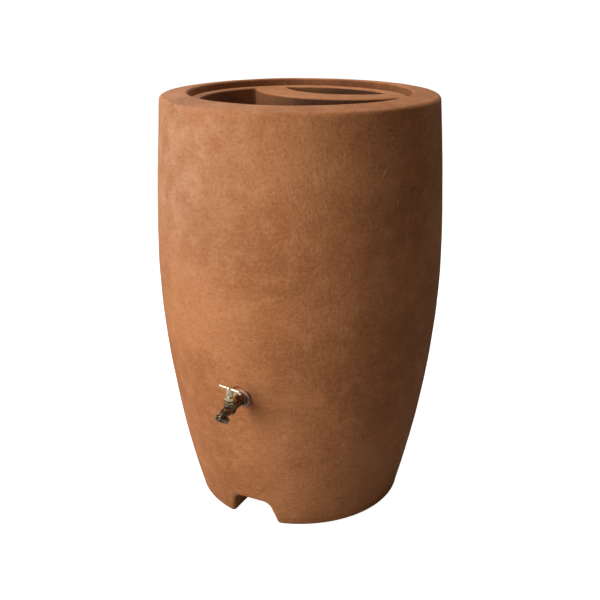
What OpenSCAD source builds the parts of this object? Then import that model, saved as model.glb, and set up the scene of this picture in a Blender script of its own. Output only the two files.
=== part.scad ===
// Rain barrel: a rotationally moulded tank with a drop-in planter top, a lift-out debris screen,
// a screw-down bib tap, a rear overflow tail and a drain plug in the channel under the base.
// Millimetres. +Z is up, the origin is the centre of the base, and the tap points along -Y.

/* [Barrel] */
// Height of the barrel, ground to rim
height = 876; // [850:1:920]
// Outer radius at the belly
belly_r = 298.3; // [290:0.1:310]
// Height of the belly above the ground
belly_z = 555; // [520:5:600]
// How far the wall draws in from the belly to the foot
foot_drop = 77.9; // [60:0.1:90]
// How far the wall draws in from the belly to the rim
rim_drop = 17.1; // [10:0.1:25]
// Wall thickness of the tank
wall = 5; // [4:0.5:6]
// Radius of the rim's outer edge
rim_round = 9; // [6:0.5:14]
// How far the top of the rim falls from the mouth to its outer edge
rim_fall = 5; // [3:0.5:8]

/* [Mouth] */
// Inner radius of the rim
mouth_r = 225; // [222:0.5:228]
// Depth of the seat for the planter top below the rim
seat_depth = 23; // [20:1:30]
// Inner radius of the seat
seat_r = 210; // [209:0.5:213]

/* [Planter top] */
// Turn of the planter top on its seat, away from the tap
top_turn = -6.5; // [-180:0.5:180]
// Wall thickness of the planter top
top_wall = 4; // [3:0.5:4.5]
// Depth of the planting well below the deck
well_depth = 150; // [80:5:200]
// Depth of the inlet basin below the deck
basin_depth = 45; // [30:1:70]
// Outer radius of the planting well
well_r = 203; // [198:0.5:204]
// Radius of the arc between the well and the bridge
bridge_r = 202; // [195:0.5:205]
// Distance of that arc's centre behind the barrel's axis
bridge_back = 208; // [204:0.5:215]
// Radius of the arc between the bridge and the basin
basin_r = 147.5; // [140:0.5:150]
// Distance of that arc's centre behind the barrel's axis
basin_back = 235; // [230:0.5:240]

/* [Base channel] */
// Turn of the channel about the barrel's axis, away from the tap
channel_turn = -2.5; // [-10:0.5:10]
// Half the width of the channel at the ground
channel_half = 51.5; // [45:1:60]
// Height of the channel
channel_h = 57; // [50:1:70]
// Distance of the channel's end wall from the axis
channel_end = 125; // [115:1:145]

/* [Tap] */
// Height of the tap above the ground
tap_z = 316; // [250:5:400]
// Distance of the stem from the wall's flat seat
tap_reach = 51; // [50:0.5:54]
// Length of the handle's bar
bar_length = 54; // [45:1:60]
// Turn of the handle's bar away from square across the tap
bar_turn = -14.5; // [-90:0.5:90]
// Radius of the hose thread's crest at the outlet
outlet_r = 13.2; // [13:0.05:13.4]

/* [Overflow] */
// Height of the overflow above the ground
overflow_z = 780; // [700:5:790]
// Outer radius of the hose tail
overflow_r = 16; // [12:0.5:16]

/* [Hidden] */
$fn = 96;

terracotta = "#b8754b";
brass = "#b79a52";
rubber = "#2a2a2a";
black_plastic = "#333333";

// Play between a turning or screwed piece and its bore, on the radius
play = 0.1;
// A little past a face, so that a cut goes clean through it
past = 1;

// Barrel
foot_round = 12;
lip_round = 5;
foot_curve = 1.95;
rim_curve = 1.45;
wall_steps = 28;
arc_steps = 6;
// The rim's outer edge: the height of its centre, and where its arc starts and ends
rim_edge_z = height - rim_fall - rim_round;
rim_edge_from = 5;
rim_edge_to = 84;
seat_z = height - seat_depth;
lip_drop = 18;

// Planter top
deck_step = 8;
deck_z = seat_z + deck_step;
edge_gap = 1.5;
deck_r = mouth_r - edge_gap;
well_floor_z = deck_z - well_depth;
basin_floor_z = deck_z - basin_depth;
inlet_r = 42;
inlet_y = 146;
well_drain_r = 5;
well_drain_y = -115;
well_drain_angle = 26;

// Screen
screen_flange_r = 50;
screen_flange_h = 3;
screen_collar_r = inlet_r - 0.4;
screen_collar_wall = 3.1;
screen_collar_drop = 13;
screen_shelf_w = 3.5;
screen_shelf_h = 2;
mesh_h = 0.8;
snap_h = 3;
screen_z = basin_floor_z - screen_collar_drop;

// Base channel
channel_top_half = 43;
channel_corner = 20;
channel_flare = 7;
channel_wall = wall;

// Tap seat in the wall, and the tap's own sizes along its axis and up its stem
tap_face_y = -279;
tap_seat_r = 26;
tap_boss_r = 34;
seat_wall = 6;
tail_r = 10.4;
tail_hole_r = 10.6;
tail_in = 23;
outer_seal_h = 2;
outer_seal_r = 16;
wall_flange_r = 18.5;
flange_h = 3;
shoulder_flats = 25;
shoulder_h = 7;
shoulder_x = outer_seal_h + flange_h;
inner_seal_h = 2.5;
inner_seal_r = 19;
lock_nut_flats = 32;
lock_nut_h = 8;
pipe_r = 9.8;
chamber_r = 12.5;
chamber_bore_r = 9;
chamber_top = 12;
chamber_bottom = -10.8;
chamber_round = 5;
valve_seat_z = 0;
valve_seat_r = 5;
inlet_bore_r = 3;
inlet_bore_z = -3.8;
tail_bore_r = 7;
tail_bore_end = 18;
spout_r = 7.6;
spout_bore_r = 5.5;
spout_bore_x = 7;
spout_step = 0.3;
spout_bend_r = 10.5;
spout_bend_angle = 45;
spout_bend_x = tap_reach + 20;
collar_start = 2;
collar_flange_r = 14.2;
collar_flange_h = 1.5;
collar_h = 7.5;
washer_h = 1;
bonnet_washer_r = 12.2;
bonnet_flats = 22;
bonnet_hex_h = 4.5;
bonnet_z = chamber_top + washer_h;
bonnet_thread_bottom = 5;
bonnet_cavity_r = 6.8;
bonnet_cavity_top = 13;
neck_r = 7;
neck_top = 22;
packing_r = 5.4;
packing_z = 18;
packing_h = 2.5;
gland_flats = 18;
gland_z = 18.5;
gland_roof_z = 22.5;
gland_top = 25;
stem_r = 4;
stem_bottom = 4.5;
stem_foot_r = 6.2;
stem_foot_h = 2.5;
stem_bore_r = 2.3;
stem_bore_top = 16;
stem_square = 5.6;
stem_square_top = 35;
hub_r = 6.8;
hub_z = 26;
hub_top = 47;
hub_foot_round = 1;
hub_top_round = 2.5;
bar_r = 3.1;
bar_z = 42;
grub_r = 1.5;
grub_z = 31;
grub_sunk = 0.6;
jumper_plate_r = 6.5;
jumper_stem_r = 2.2;
jumper_stem_top = 12;
jumper_stud_r = 1.8;
jumper_stud_l = 3.2;
valve_washer_r = 6.5;
valve_washer_h = 2.5;
valve_nut_flats = 6;
valve_nut_h = 2.2;

// Overflow seat and pieces
overflow_face_y = 284;
overflow_seat_r = 29;
overflow_boss_r = 36;
overflow_thread_r = 16.4;
overflow_bore_r = 12.5;
overflow_seal_h = 2;
overflow_seal_r = 25;
overflow_nut_flats = 46;
overflow_flange_h = 5;
overflow_flange_r = 26;
overflow_tail_l = 34;
overflow_thread_l = 24;

// Drain
drain_z = 28;
drain_boss_r = 22;
drain_boss_l = 12;
drain_insert_r = 17;
drain_bore_r = 13.2;
drain_shank_l = 10;
drain_seal_h = 3;
drain_seal_r = 18.5;
drain_flange_r = 20;
drain_flange_h = 4;
drain_grip_l = 11;
drain_grip_w = 8;
drain_grip_half = 17;

// Outer radius of the tank wall at a height
function wall_r(z) = z < belly_z
    ? belly_r - foot_drop * pow((belly_z - z) / belly_z, foot_curve)
    : belly_r - rim_drop * pow((z - belly_z) / (height - belly_z), rim_curve);

// Points on an arc, from angle a to angle b
function arc(cx, cy, r, a, b, steps = arc_steps) =
    [for (i = [0:steps]) let (t = a + (b - a) * i / steps) [cx + r * cos(t), cy + r * sin(t)]];

// Points up the wall's curve, set in by inset
function wall_points(z0, z1, inset) =
    [for (i = [0:wall_steps]) let (z = z0 + (z1 - z0) * i / wall_steps) [wall_r(z) - inset, z]];

function reversed(list) = [for (i = [len(list) - 1:-1:0]) list[i]];

// The channel's outline, grown outwards by grow: its sides flare at the ground and its top corners are round
function channel_outline(grow) =
    let (
        foot_x = channel_half + channel_flare + grow,
        corner_x = channel_top_half - channel_corner + grow,
        corner_z = channel_h - channel_corner + grow
    )
    concat(
        [[-foot_x, -past]],
        arc(-foot_x, channel_flare, channel_flare, -90, -10),
        arc(-corner_x, corner_z, channel_corner, 170, 96),
        arc(corner_x, corner_z, channel_corner, 84, 10),
        arc(foot_x, channel_flare, channel_flare, 190, 270),
        [[foot_x, -past]]
    );

// The solid outer form of the tank, up to the rim
module tank_form() {
    rotate_extrude()
        polygon(concat(
            [[0, 0]],
            arc(wall_r(foot_round) - foot_round, foot_round, foot_round, -90, -12),
            wall_points(foot_round, rim_edge_z, 0),
            [[0, rim_edge_z]]
        ));
}

// The tank's wall in section: base, side, rolled rim, throat, seat and lip
module tank_section() {
    rim_x = wall_r(rim_edge_z) - rim_round;
    polygon(concat(
        [[0, 0]],
        arc(wall_r(foot_round) - foot_round, foot_round, foot_round, -90, -12),
        wall_points(foot_round, rim_edge_z, 0),
        arc(rim_x, rim_edge_z, rim_round, rim_edge_from, rim_edge_to),
        arc(mouth_r + lip_round, height - lip_round, lip_round, 90, 180),
        [
            [mouth_r, seat_z],
            [seat_r, seat_z],
            [seat_r, seat_z - lip_drop],
            [seat_r + wall, seat_z - lip_drop],
            [seat_r + wall, seat_z - wall],
            [mouth_r + wall, seat_z - wall],
            [mouth_r + wall, height - wall],
        ],
        reversed(arc(rim_x, rim_edge_z, rim_round - wall, rim_edge_from, rim_edge_to)),
        reversed(wall_points(foot_round + wall, rim_edge_z, wall)),
        [[wall_r(wall) - wall - foot_round, wall], [0, wall]]
    ));
}

// Something that lies across the tank from front to back, centred at height z, from y0 to y1
module across(z, y0, y1, r) {
    translate([0, y1, z])
        rotate([90, 0, 0])
            cylinder(h = y1 - y0, r = r);
}

module channel(grow, end_y) {
    translate([0, end_y, 0])
        rotate([90, 0, 0])
            linear_extrude(height = belly_r)
                polygon(channel_outline(grow));
}

module turned_channel() {
    rotate([0, 0, channel_turn])
        children();
}

module barrel_shell() {
    color(terracotta)
        difference() {
            union() {
                rotate_extrude()
                    tank_section();
                intersection() {
                    tank_form();
                    union() {
                        turned_channel() {
                            channel(channel_wall, -channel_end + channel_wall);
                            across(drain_z, -channel_end, -channel_end + drain_boss_l, drain_boss_r);
                        }
                        across(tap_z, -belly_r, tap_face_y + seat_wall, tap_boss_r);
                        across(overflow_z, overflow_face_y - seat_wall, belly_r, overflow_boss_r);
                    }
                }
            }
            turned_channel() {
                channel(0, -channel_end);
                across(drain_z, -channel_end - past, -channel_end + drain_boss_l + past, drain_insert_r);
            }
            across(tap_z, -belly_r, tap_face_y, tap_seat_r);
            across(tap_z, -belly_r, tap_face_y + seat_wall + past, tail_hole_r);
            across(overflow_z, overflow_face_y, belly_r, overflow_seat_r);
            across(overflow_z, overflow_face_y - seat_wall - past, belly_r, overflow_thread_r + play);
        }
}

module well_plan(grow) {
    difference() {
        circle(r = well_r + grow);
        translate([0, bridge_back])
            circle(r = bridge_r - grow);
    }
}

module basin_plan(grow) {
    intersection() {
        circle(r = well_r - top_wall - past + grow);
        translate([0, basin_back])
            circle(r = basin_r + grow);
    }
}

module raised(z0, z1) {
    translate([0, 0, z0])
        linear_extrude(height = z1 - z0)
            children();
}

module planter_top() {
    color(terracotta)
        rotate([0, 0, top_turn])
            difference() {
                union() {
                    translate([0, 0, deck_z - top_wall])
                        cylinder(h = top_wall, r = deck_r);
                    translate([0, 0, seat_z])
                        difference() {
                            cylinder(h = deck_step - top_wall, r = deck_r);
                            translate([0, 0, -past])
                                cylinder(h = deck_step, r = deck_r - top_wall);
                        }
                    raised(well_floor_z - top_wall, deck_z)
                        well_plan(top_wall);
                    raised(basin_floor_z - top_wall, deck_z)
                        basin_plan(top_wall);
                }
                raised(well_floor_z, deck_z + past)
                    well_plan(0);
                raised(basin_floor_z, deck_z + past)
                    basin_plan(0);
                translate([0, inlet_y, basin_floor_z - top_wall - past])
                    cylinder(h = top_wall + 2 * past, r = inlet_r);
                for (i = [-2:2])
                    rotate([0, 0, i * well_drain_angle])
                        translate([0, well_drain_y, well_floor_z - top_wall - past])
                            cylinder(h = top_wall + 2 * past, r = well_drain_r);
            }
}

// A ring from height z0 to z1, in the current frame
module ring(r_out, r_in, z0, z1) {
    translate([0, 0, z0])
        difference() {
            cylinder(h = z1 - z0, r = r_out);
            translate([0, 0, -past])
                cylinder(h = z1 - z0 + 2 * past, r = r_in);
        }
}

module hex(flats, h) {
    cylinder(h = h, r = flats / 2 / cos(30), $fn = 6);
}

module at_inlet() {
    rotate([0, 0, top_turn])
        translate([0, inlet_y, screen_z])
            children();
}

module screen_frame() {
    bore = screen_collar_r - screen_collar_wall;
    top = screen_collar_drop + screen_flange_h;
    color(black_plastic)
        at_inlet() {
            ring(screen_flange_r, bore, screen_collar_drop, top);
            ring(screen_collar_r, bore, 0, screen_collar_drop);
            ring(bore + past, bore - screen_shelf_w, 0, screen_shelf_h);
        }
}

module screen_mesh() {
    color("silver")
        at_inlet()
            translate([0, 0, screen_shelf_h])
                cylinder(h = mesh_h, r = screen_collar_r - screen_collar_wall - play);
}

module screen_snap_ring() {
    bore = screen_collar_r - screen_collar_wall;
    bottom = screen_shelf_h + mesh_h;
    color(black_plastic)
        at_inlet()
            ring(bore - play, bore - screen_shelf_w, bottom, bottom + snap_h);
}

// The tap's frame: x runs out from the wall's flat seat along the tail, z is up
module at_tap() {
    translate([0, tap_face_y, tap_z])
        rotate([0, 0, -90])
            children();
}

module at_stem() {
    at_tap()
        translate([tap_reach, 0, 0])
            children();
}

// A round bar along the tap's x axis
module along(x0, x1, r, z = 0) {
    translate([x0, 0, z])
        rotate([0, 90, 0])
            cylinder(h = x1 - x0, r = r);
}

// A ring about the tap's x axis
module washer_on_tail(r_out, r_in, x0, x1) {
    difference() {
        along(x0, x1, r_out);
        along(x0 - past, x1 + past, r_in);
    }
}

// The outlet's end, drawn along +Z and put at the end of the bend
module at_outlet() {
    translate([spout_bend_x, 0, -spout_bend_r])
        rotate([0, spout_bend_angle, 0])
            translate([0, 0, spout_bend_r])
                rotate([0, 90, 0])
                    children();
}

// The spout from x0 on at radius r: a length, the bend and a second length.
// The radius of both lengths is spout_step larger.
module spout(r, x0, straight) {
    along(x0, spout_bend_x, r + spout_step);
    translate([spout_bend_x, 0, -spout_bend_r])
        rotate([90, 0, 0])
            rotate([0, 0, 90 - spout_bend_angle])
                rotate_extrude(angle = spout_bend_angle)
                    translate([spout_bend_r, 0])
                        circle(r = r);
    at_outlet()
        cylinder(h = straight, r = r + spout_step);
}

module tap_body() {
    collar_l = collar_flange_h + collar_h;
    round_x = chamber_r - chamber_round;
    round_z = chamber_bottom + chamber_round;
    color(brass)
        at_tap()
            difference() {
                union() {
                    along(-tail_in, shoulder_x + past, tail_r);
                    translate([shoulder_x, 0, 0])
                        rotate([0, 90, 0])
                            hex(shoulder_flats, shoulder_h);
                    along(shoulder_x + past, tap_reach, pipe_r);
                    translate([tap_reach, 0, 0])
                        rotate_extrude()
                            polygon(concat(
                                [[0, chamber_bottom]],
                                arc(round_x, round_z, chamber_round, -90, 0),
                                [[chamber_r, chamber_top], [0, chamber_top]]
                            ));
                    spout(spout_r, tap_reach, collar_start + past);
                    at_outlet() {
                        translate([0, 0, collar_start])
                            cylinder(h = collar_flange_h, r = collar_flange_r);
                        translate([0, 0, collar_start + collar_flange_h])
                            cylinder(h = collar_h, r = outlet_r);
                    }
                }
                along(-tail_in - past, tail_bore_end, tail_bore_r);
                along(tail_bore_end - past, tap_reach, inlet_bore_r, inlet_bore_z);
                translate([tap_reach, 0, inlet_bore_z])
                    cylinder(h = valve_seat_z - inlet_bore_z + past, r = valve_seat_r);
                translate([tap_reach, 0, valve_seat_z])
                    cylinder(h = chamber_top - valve_seat_z + past, r = chamber_bore_r);
                spout(spout_bore_r, tap_reach + spout_bore_x, collar_start + collar_l + past);
            }
}

module tap_bonnet() {
    color(brass)
        at_stem()
            difference() {
                union() {
                    translate([0, 0, bonnet_z])
                        hex(bonnet_flats, bonnet_hex_h);
                    translate([0, 0, bonnet_thread_bottom])
                        cylinder(h = bonnet_z - bonnet_thread_bottom + past, r = chamber_bore_r - play);
                    translate([0, 0, bonnet_z])
                        cylinder(h = neck_top - bonnet_z, r = neck_r);
                }
                translate([0, 0, bonnet_thread_bottom - past])
                    cylinder(h = bonnet_cavity_top - bonnet_thread_bottom + past, r = bonnet_cavity_r);
                cylinder(h = neck_top + past, r = stem_r + play);
                translate([0, 0, packing_z])
                    cylinder(h = neck_top - packing_z + past, r = packing_r);
            }
}

module tap_bonnet_washer() {
    color("firebrick")
        at_stem()
            ring(bonnet_washer_r, chamber_bore_r + play, chamber_top, bonnet_z);
}

module tap_gland_nut() {
    color(brass)
        at_stem() {
            difference() {
                translate([0, 0, gland_z])
                    hex(gland_flats, gland_top - gland_z);
                translate([0, 0, gland_z - past])
                    cylinder(h = gland_roof_z - gland_z + past, r = neck_r + play);
                cylinder(h = gland_top + past, r = stem_r + 2 * play);
            }
            ring(packing_r - play, stem_r + 2 * play, packing_z + packing_h, gland_roof_z + past);
        }
}

module tap_gland_packing() {
    color("gray")
        at_stem()
            ring(packing_r, stem_r + play, packing_z, packing_z + packing_h);
}

module tap_wall_flange() {
    color("tan")
        at_tap()
            washer_on_tail(wall_flange_r, tail_hole_r, outer_seal_h, shoulder_x);
}

module tap_outer_seal() {
    color(rubber)
        at_tap()
            washer_on_tail(outer_seal_r, tail_hole_r, 0, outer_seal_h);
}

module tap_inner_seal() {
    color(rubber)
        at_tap()
            washer_on_tail(inner_seal_r, tail_hole_r, -seat_wall - inner_seal_h, -seat_wall);
}

module tap_lock_nut() {
    nut_x = -seat_wall - inner_seal_h;
    color(brass)
        at_tap()
            difference() {
                translate([nut_x - lock_nut_h, 0, 0])
                    rotate([0, 90, 0])
                        hex(lock_nut_flats, lock_nut_h);
                along(nut_x - lock_nut_h - past, nut_x + past, tail_r + play);
            }
}

module tap_jumper() {
    plate_z = valve_seat_z + valve_washer_h;
    color(brass)
        at_stem() {
            translate([0, 0, plate_z])
                cylinder(h = stem_bottom - plate_z, r = jumper_plate_r);
            translate([0, 0, plate_z])
                cylinder(h = jumper_stem_top - plate_z, r = jumper_stem_r);
            translate([0, 0, valve_seat_z - jumper_stud_l])
                cylinder(h = plate_z - valve_seat_z + jumper_stud_l + past, r = jumper_stud_r);
        }
}

module tap_jumper_washer() {
    color(rubber)
        at_stem()
            ring(valve_washer_r, jumper_stud_r + play, valve_seat_z, valve_seat_z + valve_washer_h);
}

module tap_jumper_nut() {
    color(brass)
        at_stem()
            difference() {
                translate([0, 0, valve_seat_z - valve_nut_h])
                    hex(valve_nut_flats, valve_nut_h);
                translate([0, 0, valve_seat_z - valve_nut_h - past])
                    cylinder(h = valve_nut_h + 2 * past, r = jumper_stud_r + play);
            }
}

module tap_spindle() {
    color(brass)
        at_stem()
            difference() {
                union() {
                    translate([0, 0, stem_bottom])
                        cylinder(h = stem_foot_h, r = stem_foot_r);
                    translate([0, 0, stem_bottom])
                        cylinder(h = hub_z - stem_bottom, r = stem_r);
                    translate([-stem_square / 2, -stem_square / 2, hub_z - past])
                        cube([stem_square, stem_square, stem_square_top - hub_z + past]);
                }
                translate([0, 0, stem_bottom - past])
                    cylinder(h = stem_bore_top - stem_bottom + past, r = stem_bore_r);
            }
}

module at_bar() {
    at_stem()
        rotate([0, 0, 90 + bar_turn])
            children();
}

module tap_handle_hub() {
    socket = stem_square + play;
    color(brass)
        at_stem()
            difference() {
                rotate_extrude()
                    polygon(concat(
                        [[0, hub_z]],
                        arc(hub_r - hub_foot_round, hub_z + hub_foot_round, hub_foot_round, -90, 0),
                        arc(hub_r - hub_top_round, hub_top - hub_top_round, hub_top_round, 0, 90),
                        [[0, hub_top]]
                    ));
                translate([-socket / 2, -socket / 2, hub_z - past])
                    cube([socket, socket, stem_square_top - hub_z + past + play]);
                rotate([0, 0, 90 + bar_turn])
                    along(-hub_r - past, hub_r + past, bar_r + play / 2, bar_z);
                along(0, hub_r + past, grub_r + play, grub_z);
            }
}

module tap_handle_bar() {
    straight = bar_length - 2 * bar_r;
    color(brass)
        at_bar() {
            along(-straight / 2, straight / 2, bar_r, bar_z);
            for (side = [-1, 1])
                translate([side * straight / 2, 0, bar_z])
                    sphere(r = bar_r);
        }
}

module tap_handle_screw() {
    color("dimgray")
        at_stem()
            along(stem_square / 2 + play, hub_r - grub_sunk, grub_r, grub_z);
}

// The overflow's frame: z runs out of the back of the barrel, from the wall's flat seat
module at_overflow() {
    translate([0, overflow_face_y, overflow_z])
        rotate([-90, 0, 0])
            children();
}

module overflow_tail() {
    thread_end = overflow_seal_h - overflow_thread_l;
    tail_end = overflow_seal_h + overflow_flange_h + overflow_tail_l;
    color(black_plastic)
        at_overflow()
            difference() {
                union() {
                    translate([0, 0, thread_end])
                        cylinder(h = overflow_thread_l, r = overflow_thread_r);
                    translate([0, 0, overflow_seal_h])
                        cylinder(h = overflow_flange_h, r = overflow_flange_r);
                    translate([0, 0, overflow_seal_h])
                        cylinder(h = overflow_flange_h + overflow_tail_l, r = overflow_r);
                }
                translate([0, 0, thread_end - past])
                    cylinder(h = tail_end - thread_end + 2 * past, r = overflow_bore_r);
            }
}

module overflow_seal() {
    color(rubber)
        at_overflow()
            ring(overflow_seal_r, overflow_thread_r + play, 0, overflow_seal_h);
}

module overflow_lock_nut() {
    color(black_plastic)
        at_overflow()
            translate([0, 0, -seat_wall - lock_nut_h])
                difference() {
                    hex(overflow_nut_flats, lock_nut_h);
                    translate([0, 0, -past])
                        cylinder(h = lock_nut_h + 2 * past, r = overflow_thread_r + play);
                }
}

// The drain's frame: z runs out of the channel's end wall, towards the front
module at_drain() {
    turned_channel()
        translate([0, -channel_end, drain_z])
            rotate([90, 0, 0])
                children();
}

module drain_insert() {
    color(brass)
        at_drain()
            ring(drain_insert_r, drain_bore_r, -drain_boss_l, 0);
}

module drain_plug_seal() {
    color(rubber)
        at_drain()
            ring(drain_seal_r, drain_bore_r + 2 * play, 0, drain_seal_h);
}

module drain_plug() {
    flange_z = drain_seal_h + play;
    color(black_plastic)
        at_drain() {
            translate([0, 0, -drain_shank_l])
                cylinder(h = drain_shank_l + flange_z + past, r = drain_bore_r - play);
            translate([0, 0, flange_z])
                cylinder(h = drain_flange_h, r = drain_flange_r);
            translate([-drain_grip_w / 2, -drain_grip_half, flange_z + drain_flange_h])
                cube([drain_grip_w, 2 * drain_grip_half, drain_grip_l]);
        }
}

barrel_shell();
planter_top();
screen_frame();
screen_mesh();
screen_snap_ring();
tap_body();
tap_bonnet();
tap_bonnet_washer();
tap_gland_nut();
tap_gland_packing();
tap_wall_flange();
tap_outer_seal();
tap_inner_seal();
tap_lock_nut();
tap_jumper();
tap_jumper_washer();
tap_jumper_nut();
tap_spindle();
tap_handle_hub();
tap_handle_bar();
tap_handle_screw();
overflow_tail();
overflow_seal();
overflow_lock_nut();
drain_insert();
drain_plug_seal();
drain_plug();
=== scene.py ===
# %% [markdown]
# # A rain barrel in stone-look plastic
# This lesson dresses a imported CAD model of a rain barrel. The real barrel is rotationally moulded: powder
# melts against the inside of a hot, slowly turning mould, so the wall is one even skin with soft edges and
# a stony face. A planter top drops into its mouth, and a cast brass tap goes through the wall near the
# foot. The CAD model says where everything is and how it moves. Here each piece gets its real form and
# finish.

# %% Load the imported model
import math

import bmesh
import bpy
import numpy as np
from mathutils import Matrix, Vector, noise


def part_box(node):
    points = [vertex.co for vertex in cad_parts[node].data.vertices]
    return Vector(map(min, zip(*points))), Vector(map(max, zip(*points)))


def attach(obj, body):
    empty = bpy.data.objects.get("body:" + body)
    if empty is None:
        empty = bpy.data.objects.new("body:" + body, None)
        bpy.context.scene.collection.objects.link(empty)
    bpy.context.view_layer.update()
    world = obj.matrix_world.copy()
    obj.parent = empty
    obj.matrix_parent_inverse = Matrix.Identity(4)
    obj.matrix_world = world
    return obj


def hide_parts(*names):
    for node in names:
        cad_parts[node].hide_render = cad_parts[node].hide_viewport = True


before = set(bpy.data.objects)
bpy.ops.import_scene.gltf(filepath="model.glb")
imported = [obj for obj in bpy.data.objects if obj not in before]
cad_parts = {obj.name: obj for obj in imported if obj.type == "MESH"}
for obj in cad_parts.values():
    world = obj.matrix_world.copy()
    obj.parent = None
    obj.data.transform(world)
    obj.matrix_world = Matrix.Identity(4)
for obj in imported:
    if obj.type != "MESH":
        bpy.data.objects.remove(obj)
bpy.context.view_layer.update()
MM = 0.001


def spun(axis, degrees):
    return Matrix.Rotation(math.radians(degrees), 4, axis)


def placed(x=0, y=0, z=0):
    return Matrix.Translation((x, y, z))


def new_object(name, data):
    made = bpy.data.objects.new(name, data)
    bpy.context.scene.collection.objects.link(made)
    return made


# %% [markdown]
# ## Main sizes
# A few radii and heights say most of what a turned shape is. These are the CAD model's own, in metres, with
# the front towards -Y. The finish needs some of them too, to know where the mouth is.

# %% Main sizes
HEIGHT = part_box("barrel_shell")[1].z
BELLY_Z = 0.555
BELLY_R = 0.2983
WALL = 0.005
MOUTH_R = 0.225
SEAT_R = 0.210
SEAT_Z = HEIGHT - 0.023
TAP_Z = 0.316
TAP_FACE_Y = -0.279
TAP_SEAT_R = 0.026
OVERFLOW_Z = 0.780
OVERFLOW_FACE_Y = 0.284
OVERFLOW_SEAT_R = 0.029
print("height", HEIGHT, "belly", 2 * BELLY_R, "mouth", 2 * MOUTH_R)

# %% [markdown]
# ## Camera
# The camera comes first, because it says which details matter. It stands a little above the rim and to the
# right of the tap, about two barrel heights away, and looks slightly down. Its lens is a short portrait
# lens, so the near side of the rim dips visibly. The direction is worked out from an azimuth and a pitch,
# which are easy to change.

# %% Camera
CAMERA_AZIMUTH = math.radians(23.8)
CAMERA_DISTANCE = 1.8339
CAMERA_HEIGHT = 1.0904
CAMERA_PITCH = math.radians(19.887)
LENS_MM = 53.6


def make_camera():
    camera = new_object("camera", bpy.data.cameras.new("camera"))
    camera.location = (
        CAMERA_DISTANCE * math.sin(CAMERA_AZIMUTH),
        -CAMERA_DISTANCE * math.cos(CAMERA_AZIMUTH),
        CAMERA_HEIGHT,
    )
    camera.rotation_euler = (math.radians(90) - CAMERA_PITCH, 0, CAMERA_AZIMUTH)
    camera.data.lens = LENS_MM
    camera.data.clip_start = 0.05
    bpy.context.scene.camera = camera
    return camera


camera = make_camera()
print("camera at", [round(v, 3) for v in camera.location])

# %% [markdown]
# ## Light and floor
# A plain studio: one large soft light from the left does most of the work, and lets the right side fall
# into shade, which is what makes a round barrel look round. A weak light from above lifts the rim and the
# deck inside. The floor is grey to the light that falls on it, and glows for the camera alone, so that it
# meets the white surround without an edge.

# %% Light and floor
BARREL_MIDDLE = Vector((0, 0, 0.45))
WARM_BOUNCE = (1, 0.88, 0.76, 1)
FLOOR_GREY = (0.45, 0.45, 0.45, 1)
FLOOR_GLOW = 0.97


def area_light(name, azimuth, elevation, distance, size, power, colour=(1, 1, 1)):
    """A square soft light that looks at the middle of the barrel from the given direction."""
    light = new_object(name, bpy.data.lights.new(name, "AREA"))
    around, up = math.radians(azimuth), math.radians(elevation)
    away = Vector((math.sin(around) * math.cos(up), -math.cos(around) * math.cos(up), math.sin(up)))
    light.location = BARREL_MIDDLE + away * distance
    light.rotation_euler = (-away).to_track_quat("-Z", "Y").to_euler()
    light.data.size = size
    light.data.energy = power
    light.data.color = colour
    return light


key = area_light("key", azimuth=-33, elevation=20, distance=3.2, size=2.2, power=116, colour=(1, 0.98, 0.95))
top = area_light("top", azimuth=215, elevation=72, distance=2.4, size=1.6, power=34, colour=(1, 0.98, 0.96))


def choose_by_ray(tree, others, camera_sees, output):
    """One shader for what the camera sees, and another for all other light."""
    rays = tree.nodes.new("ShaderNodeLightPath")
    pick = tree.nodes.new("ShaderNodeMixShader")
    tree.links.new(rays.outputs["Is Camera Ray"], pick.inputs[0])
    tree.links.new(others.outputs[0], pick.inputs[1])
    tree.links.new(camera_sees.outputs[0], pick.inputs[2])
    tree.links.new(pick.outputs[0], tree.nodes[output].inputs["Surface"])


def make_world(strength):
    world = bpy.data.worlds.new("studio")
    bpy.context.scene.world = world
    world.use_nodes = True
    seen = world.node_tree.nodes.new("ShaderNodeBackground")
    seen.inputs["Color"].default_value = (1, 1, 1, 1)
    soft = world.node_tree.nodes["Background"]
    soft.inputs["Color"].default_value = WARM_BOUNCE
    soft.inputs["Strength"].default_value = strength
    choose_by_ray(world.node_tree, soft, seen, "World Output")


make_world(strength=0.13)
bpy.context.scene.view_settings.view_transform = "Standard"


def make_floor(half=60.0):
    mesh = bpy.data.meshes.new("floor")
    corners = [(-half, -half, 0), (half, -half, 0), (half, half, 0), (-half, half, 0)]
    mesh.from_pydata(corners, [], [(0, 1, 2, 3)])
    floor = new_object("floor", mesh)
    paint = bpy.data.materials.new("floor_paint")
    paint.use_nodes = True
    nodes = paint.node_tree.nodes
    shader = nodes["Principled BSDF"]
    shader.inputs["Base Color"].default_value = FLOOR_GREY
    shader.inputs["Roughness"].default_value = 0.9
    glow = nodes.new("ShaderNodeEmission")
    glow.inputs["Strength"].default_value = FLOOR_GLOW
    both = nodes.new("ShaderNodeAddShader")
    paint.node_tree.links.new(shader.outputs[0], both.inputs[0])
    paint.node_tree.links.new(glow.outputs[0], both.inputs[1])
    choose_by_ray(paint.node_tree, shader, both, "Material Output")
    mesh.materials.append(paint)


make_floor()
print("lights:", key.name, key.data.energy, top.name, top.data.energy)

# %% [markdown]
# ## Wires that do sums
# A finish is a small graph of nodes. Writing it as sums keeps it readable: `1 - mask * 0.4` adds the two
# Math nodes that it needs. A Wire wraps one socket, and a Finish holds one material and adds its nodes.

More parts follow.
